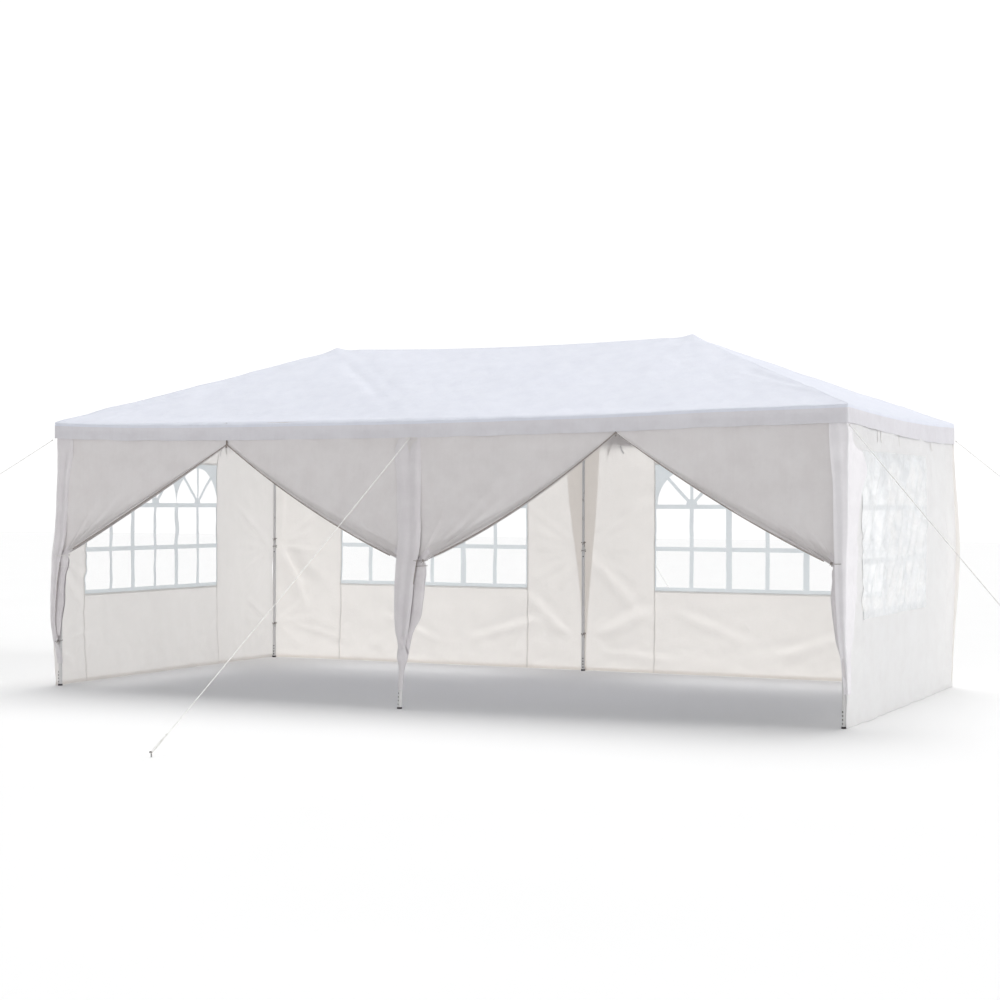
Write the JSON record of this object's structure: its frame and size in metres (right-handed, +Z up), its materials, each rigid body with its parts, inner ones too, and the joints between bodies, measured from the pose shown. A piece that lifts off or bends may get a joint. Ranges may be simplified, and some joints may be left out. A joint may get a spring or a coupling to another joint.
{
  "type": "party marquee tent",
  "caption": "Two-bay party tent: hipped white cover on a tube frame, walls with arched clear windows, open front with tied-back door curtains and guy lines.",
  "frame": {"origin": "on the ground at the middle of the tent's footprint, guy pegs included", "axes": "+X along the ridge to the right as seen from the open front, +Y to the back wall, +Z up"},
  "size_m": [10.008, 8.848, 2.57],
  "materials": {
    "leg_tube": "pale powder-coated steel tube, satin",
    "frame_tube": "pale powder-coated steel tube, satin",
    "joint": "powder-coated welded sockets, satin",
    "roof_cloth": "woven white polyethylene sheet, matt with a slight sheen",
    "wall_cloth": "thin woven white polyethylene sheet, light shows through",
    "curtain_cloth": "thin woven white polyethylene sheet, gathered",
    "window_film": "clear soft sheet with a printed pale grey lattice",
    "guy_cord": "twisted white cord on a steel peg"
  },
  "bodies": {
    "root": {"crown_joint_left": "joint", "crown_joint_right": "joint", "door_curtain_left_inner": "curtain_cloth", "door_curtain_left_outer": "curtain_cloth", "door_curtain_right_inner": "curtain_cloth", "door_curtain_right_outer": "curtain_cloth", "eave_joint_back_left": "joint", "eave_joint_back_middle": "joint", "eave_joint_back_right": "joint", "eave_joint_front_left": "joint", "eave_joint_front_middle": "joint", "eave_joint_front_right": "joint", "eave_rail_back_left": "frame_tube", "eave_rail_back_right": "frame_tube", "eave_rail_end_left": "frame_tube", "eave_rail_end_right": "frame_tube", "eave_rail_front_left": "frame_tube", "eave_rail_front_right": "frame_tube", "guy_line_back_left": "guy_cord", "guy_line_back_middle": "guy_cord", "guy_line_back_right": "guy_cord", "guy_line_front_left": "guy_cord", "guy_line_front_middle": "guy_cord", "guy_line_front_right": "guy_cord", "leg_back_left": "leg_tube", "leg_back_middle": "leg_tube", "leg_back_right": "leg_tube", "leg_front_left": "leg_tube", "leg_front_middle": "leg_tube", "leg_front_right": "leg_tube", "rafter_back_left_corner": "frame_tube", "rafter_back_left_middle": "frame_tube", "rafter_back_right_corner": "frame_tube", "rafter_back_right_middle": "frame_tube", "rafter_front_left_corner": "frame_tube", "rafter_front_left_middle": "frame_tube", "rafter_front_right_corner": "frame_tube", "rafter_front_right_middle": "frame_tube", "ridge_tube": "frame_tube", "roof_cover": "roof_cloth", "wall_back_left": "wall_cloth", "wall_back_right": "wall_cloth", "wall_end_left": "wall_cloth", "wall_end_right": "wall_cloth", "window_back_left": "window_film", "window_back_right": "window_film", "window_end_left": "window_film", "window_end_right": "window_film"}
  },
  "joints": []
}
